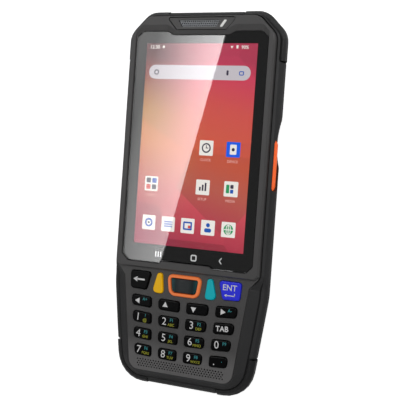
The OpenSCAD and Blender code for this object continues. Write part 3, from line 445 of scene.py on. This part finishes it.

# %% Painted glow of the orange, yellow and teal parts
painted_glow = [
    (trigger_orange, ink(255, 92, 20), 0.38),
    (ring_orange, ink(255, 110, 40), 0.16),
    (key_yellow, ink(250, 180, 0), 0.1),
    (key_cyan, ink(0, 180, 190), 0.08),
]
# Each finish glows a little in its own colour, painted light that makes the part brighter than the
# lamps light it
for finish, colour, glow in painted_glow:
    pigment = finish.node_tree.nodes["Principled BSDF"]
    plug(finish.node_tree, pigment, {"Emission Color": colour, "Emission Strength": glow})
print("painted-glow:", [finish.name for finish, colour, glow in painted_glow])

# %% [markdown]
# ## The scan key
# Its cap is dark smoked plastic that turns teal at both ends, and the grey in its middle is a painted
# reflection. A group measures how far a point is from the middle of the key and looks the colour up in
# a ramp.

# %% Tint the ends of the scan key and paint a reflection in its middle
scan_smoke = moulded("scan_smoke", ink(40, 42, 44), 0.2, grain=12000, depth=0.000002, spread=0.05,
                     shine=0.3)
scan_low, scan_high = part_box("scan_key")
tint_and_reflection_group, tint_in, tint_and_reflection_out = shared_group(
    "end_tint_and_reflection", [("Middle", 0.0), ("Half Width", 0.01)], [("Colour", "NodeSocketColor")]
)
tint_place = add_node(tint_and_reflection_group, "TexCoord", {})
tint_split = add_node(tint_and_reflection_group, "SeparateXYZ", {"Vector": tint_place.outputs["Object"]})
tint_away = maths(tint_and_reflection_group, "SUBTRACT", tint_split.outputs["X"], tint_in.outputs["Middle"])
tint_away = maths(tint_and_reflection_group, "ABSOLUTE", tint_away, 0.0)
tint_away = maths(tint_and_reflection_group, "DIVIDE", tint_away, tint_in.outputs["Half Width"])


def colour_ramp(tree, place, stops):
    """A ramp through the stops, each a position and a colour as it looks on a screen."""
    ramp = add_node(tree, "ValToRGB", {"Fac": place})
    ends = ramp.color_ramp.elements
    ends[0].position, ends[0].color = stops[0][0], ink(*stops[0][1])
    ends[1].position, ends[1].color = stops[-1][0], ink(*stops[-1][1])
    for position, colour in stops[1:-1]:
        ends.new(position).color = ink(*colour)
    return ramp.outputs["Color"]


# The grey stop in the middle of the ramp is a painted reflection; towards the ends the ramp turns teal
plug(tint_and_reflection_group, tint_and_reflection_out, {"Colour": colour_ramp(
    tint_and_reflection_group, tint_away, [(0.3, (46, 50, 52)), (0.62, (14, 30, 32)), (0.95, (2, 74, 78))])})
smoke_tree = scan_smoke.node_tree
tint_and_reflection = add_node(smoke_tree, "Group", {
    "Middle": (scan_low.x + scan_high.x) / 2,
    "Half Width": (scan_high.x - scan_low.x) / 2,
}, node_tree=tint_and_reflection_group)
plug(smoke_tree, smoke_tree.nodes["Principled BSDF"], {"Base Color": tint_and_reflection.outputs["Colour"]})
put_on(scan_smoke, "scan_key")

# %% [markdown]
# ## Glass and printed border
# The cover glass is clear, and its border is printed black on the back, which here is the mask under
# it. The glass keeps a plain full transmission, so that the lit panel below shines through it.


# %% Glass, mask and optics
def glassy(name, colour, rough):
    finish, tree, shader = new_finish(name)
    handled = add_node(tree, "Group", {
        "Roughness": rough, "Spread": 0.012}, node_tree=handling_group)
    plug(tree, shader, {
        "Base Color": colour,
        "Transmission Weight": 1.0,
        "IOR": 1.5,
        "Roughness": handled.outputs["Roughness"],
    })
    return finish


clear_glass = glassy("clear_glass", WHITE, 0.004)
red_glass = glassy("red_glass", ink(120, 20, 30), 0.05)
lens_clear = glassy("lens_clear", (0.95, 0.95, 0.93, 1), 0.2)
mask_black = moulded("mask_black", ink(6, 6, 7), 0.01, spread=0.006, depth=0.000001, bump=0.02)
lens_white = moulded("lens_white", ink(252, 252, 248), 0.3, spread=0.05, depth=0.000001, mottle=0.03)
engine_black = moulded("engine_black", ink(28, 28, 30), 0.45)
smoked_glass = moulded("smoked_glass", ink(10, 11, 14), 0.08, depth=0.000001, spread=0.04, coat=1.0)
put_on(clear_glass, "cover_glass")
put_on(mask_black, "screen_mask")
put_on(red_glass, "scan_window")
put_on(lens_white, "status_lens")
put_on(lens_clear, "flash_lens")
put_on(engine_black, "scan_engine", "camera_module")
put_on(smoked_glass, "camera_window")

# %% [markdown]
# ## Metals, boards and the battery
# Screws, cans and contacts are bare metal. Most of them, like the boards and the battery, only show
# when a cover is open or the case is off, so the same helper does for all. A metal is metallic all
# over, so that value is written straight into the shader.

# %% Metals, boards and the battery
mesh_metal = moulded("mesh_metal", ink(104, 106, 108), 0.4, spread=0.1, depth=0.000004)
mesh_metal.node_tree.nodes["Principled BSDF"].inputs["Metallic"].default_value = 1.0
steel = metallic("steel", ink(168, 168, 172), 0.3)
can_metal = metallic("can_metal", ink(190, 190, 192), 0.35)
contact_gold = metallic("contact_gold", ink(220, 180, 95), 0.25)
board_green = moulded("board_green", ink(24, 88, 52), 0.35)
mat_grey = moulded("mat_grey", ink(96, 96, 100), 0.6)
battery_wrap = moulded("battery_wrap", ink(36, 37, 40), 0.4)
put_on(mesh_metal, "earpiece_grille")
put_on(steel, "screws", "port_hinge_pin", "usb_connector")
put_on(can_metal, "shield_cans", "vibration_motor", "earpiece", "side_switches")
put_on(contact_gold, "battery_contacts")
put_on(board_green, "main_board", "keypad_board")
put_on(mat_grey, "keypad_mat")
put_on(battery_wrap, "battery_pack")

# %% [markdown]
# ## The lit screen
# The panel glows by itself, so its picture is an emission. Two ramps run down the screen, an amber
# and rose one at the left and a coral and crimson one at the right. Large facets, tinted cell by
# cell, give the folded-paper look of a calm background. It reads Object coordinates, so it stays on
# the panel.

# %% Cut the panel into facets
# The lit area's lower left corner and its width and height, which the pattern is fitted to
lit_corner = (-0.02615, -0.02005, 0)
lit_size = (0.0523, 0.0871, 1)
wall_group, wall_in, wall_out = shared_group(
    "folded_wallpaper", [("Facets", 32.0)], [("Picture", "NodeSocketColor")]
)
wall_place = add_node(wall_group, "TexCoord", {}).outputs["Object"]
wall_fit = add_node(wall_group, "Mapping", {
    "Vector": wall_place, "Location": lit_corner, "Scale": lit_size}, vector_type="TEXTURE")
wall_split = add_node(wall_group, "SeparateXYZ", {"Vector": wall_fit.outputs["Vector"]})
wall_cells = add_node(wall_group, "TexVoronoi", {
    "Vector": wall_place, "Scale": wall_in.outputs["Facets"], "Randomness": 0.9})
wall_tint = add_node(wall_group, "SeparateColor", {"Color": wall_cells.outputs["Color"]})
facet_shift = maths(wall_group, "SUBTRACT", wall_tint.outputs["Red"], 0.5)
facet_shift = maths(wall_group, "MULTIPLY", facet_shift, 0.12)
slant = maths(wall_group, "MULTIPLY", wall_split.outputs["X"], 0.14)
height = maths(wall_group, "ADD", wall_split.outputs["Y"], facet_shift)
height = maths(wall_group, "ADD", height, slant)
print("lit area", lit_size[0], "m by", lit_size[1], "m")

# %% Mix the two ramps and fold them
left_side = colour_ramp(wall_group, height, [
    (0.02, (160, 40, 74)), (0.3, (186, 96, 88)), (0.5, (204, 128, 76)), (0.72, (182, 124, 58)),
    (0.9, (136, 60, 56)), (1.0, (90, 34, 40))])
right_side = colour_ramp(wall_group, height, [
    (0.05, (158, 40, 62)), (0.25, (192, 68, 80)), (0.4, (198, 94, 78)), (0.55, (210, 88, 60)),
    (0.78, (208, 78, 72)), (0.96, (204, 56, 88)), (1.08, (186, 54, 84))])
wall_side = add_node(wall_group, "MapRange", {
    "Value": wall_split.outputs["X"], "From Min": 0.05, "From Max": 0.62,
}, interpolation_type="SMOOTHSTEP")
wall_mix = add_node(wall_group, "Mix", {
    "Factor": wall_side.outputs["Result"], "A": left_side, "B": right_side}, data_type="RGBA")
wall_fold = add_node(wall_group, "MapRange", {
    "Value": wall_tint.outputs["Green"], "To Min": 0.78, "To Max": 1.2})
wall_light = add_node(wall_group, "VectorMath", {
    0: wall_mix.outputs["Result"], "Scale": wall_fold.outputs["Result"]}, operation="SCALE")
plug(wall_group, wall_out, {"Picture": wall_light.outputs["Vector"]})
print("wallpaper of", len(wall_group.nodes), "nodes")

# %% Light the panel
panel_low, panel_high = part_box("display_panel")
panel_light, panel_tree, panel_shader = new_finish("panel_light")
picture = add_node(panel_tree, "Group", {}, node_tree=wall_group)
plug(panel_tree, panel_shader, {
    "Base Color": (0.01, 0.01, 0.01, 1),
    "Roughness": 0.3,
    "Specular IOR Level": 0.05,
    "Emission Color": picture.outputs["Picture"],
    "Emission Strength": 1.0,
})
put_on(panel_light, "display_panel")
print("panel", [round(v, 4) for v in panel_high - panel_low])

# %% [markdown]
# ## Shapes that are cut from film
# The signs on the screen and on the keys are flat films. Each starts as a flat outline, gets its
# corners rounded in edit mode and is then raised by two hundredths of a millimetre. That is closer to
# a printed layer than a painted texture is, and its edge stays sharp from close by.

# %% Helpers for film shapes
film_thick = 0.02


def flat_sheet(width, depth):
    """A rectangle at the origin, open in edit mode with all of it selected."""
    clear_selection()
    bpy.ops.mesh.primitive_plane_add(size=1, location=(0, 0, 0))
    sheet = bpy.context.object
    sheet.scale = (width * MM, depth * MM, 1)
    bpy.ops.object.transform_apply(location=False, rotation=False, scale=True)
    bpy.ops.object.mode_set(mode="EDIT")
    bpy.ops.mesh.select_all(action="SELECT")
    return sheet


def raise_face():
    """Raise the open outline to the film's thickness and leave edit mode."""
    bpy.ops.mesh.select_all(action="SELECT")
    bpy.ops.mesh.extrude_region_move(
        TRANSFORM_OT_translate={"value": (0, 0, film_thick * MM)})
    bpy.ops.mesh.select_all(action="SELECT")
    bpy.ops.mesh.normals_make_consistent(inside=False)
    bpy.ops.object.mode_set(mode="OBJECT")


def settle(shape, x, y, z, turn, finish):
    """Give the shape its finish and move its mesh to its place, in millimetres."""
    shape.data.materials.append(finish)
    shape.rotation_euler = (0, 0, turn)
    shape.location = (x * MM, y * MM, z * MM)
    bpy.ops.object.transform_apply(location=True, rotation=True, scale=True)
    return shape


print("film is", film_thick, "mm thick")


# %% Film, polygon and frame
def film(width, depth, x, y, z, finish, radius=0.0, turn=0.0):
    """A flat film with rounded corners, centred at x, y with its underside at z. In millimetres."""
    shape = flat_sheet(width, depth)
    if radius:
        bpy.ops.mesh.bevel(offset=radius * MM, segments=5, affect="VERTICES")
    raise_face()
    return settle(shape, x, y, z, turn, finish)


def polygon(sides, radius, x, y, z, finish, turn=0.0):
    """A flat disc or regular polygon; the first corner points up before it is turned."""
    clear_selection()
    bpy.ops.mesh.primitive_circle_add(
        vertices=sides, radius=radius * MM, fill_type="NGON", location=(0, 0, 0))
    shape = bpy.context.object
    bpy.ops.object.mode_set(mode="EDIT")
    raise_face()
    return settle(shape, x, y, z, turn, finish)


def frame_of(width, depth, border, x, y, z, finish, radius):
    """A flat frame: a film whose face is inset, and whose middle is taken out."""
    shape = flat_sheet(width, depth)
    bpy.ops.mesh.bevel(offset=radius * MM, segments=4, affect="VERTICES")
    bpy.ops.mesh.select_all(action="SELECT")
    bpy.ops.mesh.inset(thickness=border * MM, depth=0)
    bpy.ops.mesh.delete(type="FACE")
    raise_face()
    return settle(shape, x, y, z, 0, finish)


def joined(name, parts):
    """All the parts as one piece of the name."""
    clear_selection()
    for part in parts:
        part.select_set(True)
    bpy.context.view_layer.objects.active = parts[0]
    if len(parts) > 1:
        bpy.ops.object.join()
    whole = bpy.context.object
    whole.name = name
    whole.data.name = name
    clear_selection()
    return whole


print("three film shapes ready")

# %% [markdown]
# ## Key legends
# The legends are printed on the caps. Each is text turned into a very thin mesh that lies on the top
# of its key and rides on it. White digits stand at the left of a cap, and small second functions in
# yellow-green and teal at its right.


# %% A printing helper
def printed(words, size, x, y, z, finish, turn=0.0, heavy=0.0):
    """Words as a thin mesh, centred at x, y and lying on the height z. All in millimetres."""
    clear_selection()
    bpy.ops.object.text_add(location=(0, 0, 0))
    text = bpy.context.object
    text.data.body = words
    text.data.size = size * MM
    text.data.align_x = "CENTER"
    text.data.align_y = "CENTER"
    text.data.extrude = film_thick * MM / 2
    text.data.offset = heavy * MM
    text.data.resolution_u = 3
    bpy.ops.object.convert(target="MESH")
    text = bpy.context.object
    text.data.materials.clear()
    return settle(text, x, y, z + film_thick / 2, turn, finish)


def print_ink(name, colour):
    return moulded(name, colour, 0.45, depth=0.000002, mottle=0.03)


print_white = print_ink("print_white", ink(232, 232, 232))
print_lime = print_ink("print_lime", ink(158, 158, 34))
print_teal = print_ink("print_teal", ink(52, 146, 150))
print("three printing inks mixed")

# %% Digits, words and arrows
# The middle of a key row sags by this much below its ends, which lie this far from the middle
row_sag, keys_half = 0.9, 25.4
cap_height, print_gap = 21.0, 0.01
key_top = cap_height + print_gap
legends = {
    "key_1": ("1", "@", "!"), "key_2": ("2", "ABC", "F1"), "key_3": ("3", "DEF", "F2"),
    "key_4": ("4", "GHI", "F3"), "key_5": ("5", "JKL", "F4"), "key_6": ("6", "MNO", "F5"),
    "key_7": ("7", "PQRS", "F6"), "key_8": ("8", "TUV", "F7"), "key_9": ("9", "WXYZ", "F8"),
    "key_0": ("0", "", "F9"), "point_key": (".", "", ","), "tab_key": ("TAB", "", ""),
    "left_key": ("<", "", "A+"), "right_key": (">", "", "A-"), "up_key": ("^", "", ""),
    "down_key": ("v", "", ""),
}
arrow_turn = {"<": 90, ">": -90, "^": 0, "v": 180}


def cap_middle(node):
    low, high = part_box(node)
    return (low.x + high.x) / 2 / MM, (low.y + high.y) / 2 / MM


def arrowhead(radius, x, y, degrees):
    return polygon(3, radius, x, y, key_top, print_white, turn=math.radians(degrees))


for node, (main, lower, upper) in legends.items():
    x, y = cap_middle(node)
    turn = 2 * row_sag * x / keys_half ** 2
    if main in arrow_turn:
        parts = [arrowhead(1.5, x - 1.5, y, arrow_turn[main])]
    elif main == "TAB":
        parts = [printed(main, 3.2, x - 0.4, y - 0.1, key_top, print_white, turn, heavy=0.06)]
    else:
        parts = [printed(main, 4.6, x - 1.7, y, key_top, print_white, turn)]
    if lower:
        size = 2.1 - 0.15 * len(lower)
        parts.append(printed(lower, size, x + 1.7, y - 1.15, key_top, print_lime, turn, heavy=0.03))
    if upper:
        parts.append(printed(upper, 1.9, x + 1.9, y + 0.85, key_top, print_teal, turn, heavy=0.03))
    legend = joined("legend_" + node, parts)
    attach(legend, node)
print(len(legends), "legends printed")

# %% The back and enter keys
x, y = cap_middle("back_key")
parts = [
    arrowhead(1.35, x - 2.0, y + 0.3, 90),
    film(4.0, 0.75, x + 0.3, y + 0.3, key_top, print_white),
]
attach(joined("legend_back_key", parts), "back_key")
x, y = cap_middle("enter_key")
parts = [
    printed("ENT", 3.5, x - 0.1, y + 1.3, key_top, print_white, heavy=0.04),
    arrowhead(0.75, x - 1.7, y - 1.9, 90),
    film(4.0, 0.35, x + 0.5, y - 1.9, key_top, print_white),
    film(0.35, 1.2, x + 2.3, y - 1.4, key_top, print_white),
]
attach(joined("legend_enter_key", parts), "enter_key")
print("back and enter printed")

# %% [markdown]
# ## Signs on the screen
# A launcher page: a status line, an entry field, a folder, a few programs and a dock of five. The
# tiles are plain squares with simple signs of our own. All of it glows, a little above the panel.

# %% Inks that glow
cells_group, cells_in, cells_out = shared_group(
    "lit_cells", [("Glow", 1.0), ("Spread", 0.08)], [("Strength", "NodeSocketFloat")]
)
cells_place = add_node(cells_group, "TexCoord", {})
cells_noise = add_node(cells_group, "TexNoise", {
    "Vector": cells_place.outputs["Object"], "Scale": 5000})
cells_swing = maths(cells_group, "SUBTRACT", cells_noise.outputs["Fac"], 0.5)
cells_swing = maths(cells_group, "MULTIPLY", cells_swing, cells_in.outputs["Spread"])
cells_swing = maths(cells_group, "ADD", cells_swing, cells_in.outputs["Glow"])
plug(cells_group, cells_out, {"Strength": cells_swing})


def glowing(name, colour, glow=1.0):
    finish, tree, shader = new_finish(name)
    cells = add_node(tree, "Group", {"Glow": glow}, node_tree=cells_group)
    plug(tree, shader, {
        "Base Color": (0, 0, 0, 1),
        "Specular IOR Level": 0.05,
        "Emission Color": colour,
        "Emission Strength": cells.outputs["Strength"],
    })
    return finish


tile_white = glowing("tile_white", ink(238, 234, 228))
tile_blue = glowing("tile_blue", ink(6, 90, 228))
sign_dark = glowing("sign_dark", ink(52, 44, 66))
sign_blue = glowing("sign_blue", ink(24, 84, 176))
sign_green = glowing("sign_green", ink(40, 150, 92))
sign_red = glowing("sign_red", ink(206, 66, 60))
label_pale = glowing("label_pale", ink(226, 168, 160))
field_grey = glowing("field_grey", ink(196, 190, 196))
print("glowing inks:", [m.name for m in bpy.data.materials if m.name[:4] in ("tile", "sign")])

# %% Status line and entry field
# The page floats just above the panel, and each layer of signs one step above the last
page_gap = 0.012
layer_step = 0.03
page = panel_high.z / MM + page_gap
layer = page + layer_step
parts = [
    printed("12:30", 2.2, -22.2, 65.4, page, tile_white, heavy=0.03),
    polygon(16, 0.6, -17.9, 65.5, page, tile_white),
    polygon(3, 0.75, 14.4, 65.6, page, tile_white, turn=math.pi),
    film(0.9, 1.4, 16.9, 65.6, page, tile_white, radius=0.2),
    printed("90%", 2.0, 20.4, 65.4, page, tile_white, heavy=0.03),
]
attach(joined("status_line", parts), "terminal")
parts = [
    film(48.0, 6.1, -0.3, 54.7, page, field_grey, radius=3.0),
    frame_of(2.3, 2.3, 0.5, -20.6, 54.6, layer, sign_dark, radius=1.0),
    film(1.0, 2.2, 13.2, 54.7, layer, sign_dark, radius=0.45),
    frame_of(2.2, 1.8, 0.4, 19.6, 54.6, layer, sign_blue, radius=0.5),
]
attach(joined("entry_field", parts), "terminal")
print("page at", round(page, 3), "mm")

# %% [markdown]
# ## The tiles
# Each program is a rounded square with a sign of a few plain shapes, and some have a word below. A
# shape that lies on one of another colour sits a layer higher, so that their faces don't fight.

# %% Helpers for tiles
tile = 6.4
label_drop = 5.1


def tile_at(x, y, finish, signs, name, label=None):
    """A tile centred at x, y with its signs, and its label if it has one."""
    parts = [film(tile, tile, x, y, page, finish, radius=0.4)] + signs
    if label:
        parts.append(printed(label, 1.5, x, y - label_drop, page, label_pale, heavy=0.02))
    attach(joined(name, parts), "terminal")


def bar(width, depth, x, y, finish, up=0, radius=0.0):
    return film(width, depth, x, y, layer + up * layer_step, finish, radius=radius)


def disc(radius, x, y, finish, up=0):
    return polygon(24, radius, x, y, layer + up * layer_step, finish)


print("tiles are", tile, "mm square")

# %% The programs and the folder
x, y = 5.8, 22.9
tile_at(x, y, tile_white, [
    disc(2.1, x, y, sign_dark),
    disc(1.5, x, y, tile_white, up=1),
    bar(0.35, 1.3, x, y + 0.5, sign_dark, up=2),
    bar(1.1, 0.35, x + 0.4, y, sign_dark, up=2),
], "tile_clock", "CLOCK")
x, y = 18.3, 22.8
tile_at(x, y, tile_blue, [
    bar(3.0, 4.2, x, y, tile_white, radius=0.4),
    disc(0.7, x, y, sign_dark, up=1),
], "tile_device", "DEVICE")
x, y = 5.4, 6.2
tile_at(x, y, tile_white, [
    bar(0.8, 1.6, x - 1.3, y - 0.7, sign_dark),
    bar(0.8, 2.6, x, y - 0.2, sign_dark),
    bar(0.8, 3.5, x + 1.3, y + 0.25, sign_dark),
], "tile_levels", "SETUP")
x, y = 18.5, 6.3
tile_at(x, y, tile_white, [
    bar(1.5, 3.6, x - 1.5, y, sign_green, radius=0.3),
    bar(1.5, 1.6, x + 0.4, y + 1.0, sign_dark, radius=0.3),
    bar(1.5, 1.6, x + 0.4, y - 1.0, sign_blue, radius=0.3),
], "tile_blocks", "MEDIA")
x, y = -19.4, 6.2
small, apart = 2.1, 1.4
tile_at(x, y, tile_white, [
    bar(small, small, x - apart, y + apart, sign_dark, radius=0.3),
    bar(small, small, x + apart, y + apart, sign_blue, radius=0.3),
    bar(small, small, x - apart, y - apart, sign_red, radius=0.3),
    bar(small, small, x + apart, y - apart, sign_dark, radius=0.3),
], "tile_folder", "TOOLS")
print("five tiles placed")

# %% The dock
dock_y = -10.7
x, y = -19.4, dock_y
tile_at(x, y, tile_white, [
    disc(1.9, x, y, sign_blue),
    disc(1.1, x, y, tile_white, up=1),
    disc(0.5, x, y, sign_dark, up=2),
], "dock_1")
x = -9.9
tile_at(x, y, tile_white, [bar(3.8, 0.6, x, y + 1.0 - k, sign_blue) for k in range(3)], "dock_2")
x = -0.5
tile_at(x, y, tile_white, [
    frame_of(4.2, 3.6, 0.7, x, y, layer, sign_blue, radius=0.4),
    bar(1.2, 1.2, x + 0.8, y - 0.4, sign_red),
], "dock_3")
x = 9.1
tile_at(x, y, tile_white, [
    disc(0.9, x, y + 1.1, sign_blue),
    bar(3.2, 1.7, x, y - 1.1, sign_blue, radius=0.7),
], "dock_4")
x = 18.6
tile_at(x, y, tile_white, [
    disc(2.2, x, y, sign_green),
    bar(0.4, 4.2, x, y, tile_white, up=1),
    bar(4.2, 0.4, x, y, tile_white, up=1),
    frame_of(2.2, 4.0, 0.35, x, y, layer + layer_step, tile_white, radius=1.0),
], "dock_5")
print("five tiles docked")

# %% [markdown]
# ## The ink and the touch marks
# The border of a real cover glass is a layer of ink on its underside. Here it is a copy of the mask
# that is lifted a few hundredths of a millimetre into the glass, so that the two touching faces don't
# fight and the ink mirrors the lamps as the lit area does. Below the lit area the ink leaves three
# backlit touch marks open: a list, a home square and an arrow back.

# %% The ink layer
ink_lift = 0.03
mask_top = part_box("screen_mask")[1].z / MM
clear_selection()
border_ink = nodes["screen_mask"].copy()
border_ink.data = nodes["screen_mask"].data.copy()
border_ink.name = "border_ink"
scene.collection.objects.link(border_ink)
border_ink.select_set(True)
bpy.context.view_layer.objects.active = border_ink
bpy.ops.object.mode_set(mode="EDIT")
bpy.ops.mesh.select_all(action="SELECT")
bpy.ops.mesh.remove_doubles(threshold=0.000001)
bpy.ops.transform.translate(value=(0, 0, ink_lift * MM))
bpy.ops.object.mode_set(mode="OBJECT")
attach(border_ink, "terminal")
print("ink layer up to", round(mask_top + ink_lift, 3), "mm")

# %% Touch marks
mark_grey = glowing("mark_grey", ink(190, 192, 192))
mark_lit = glowing("mark_lit", ink(250, 250, 250), glow=1.1)
marks_lift = 0.035
marks_z = mask_top + marks_lift
row_y = -24.1
parts = [film(0.5, 2.4, -13.6 + dx, row_y, marks_z, mark_lit) for dx in (-1.2, 0.0, 1.2)]
parts.append(frame_of(2.8, 2.8, 0.55, 3.5, row_y, marks_z, mark_grey, radius=0.7))
parts.append(film(0.4, 1.7, 16.0, -23.5, marks_z, mark_grey, turn=math.radians(-40)))
parts.append(film(0.4, 1.7, 16.0, -24.7, marks_z, mark_grey, turn=math.radians(40)))
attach(joined("touch_marks", parts), "terminal")
print("touch marks at", round(marks_z, 3), "mm")
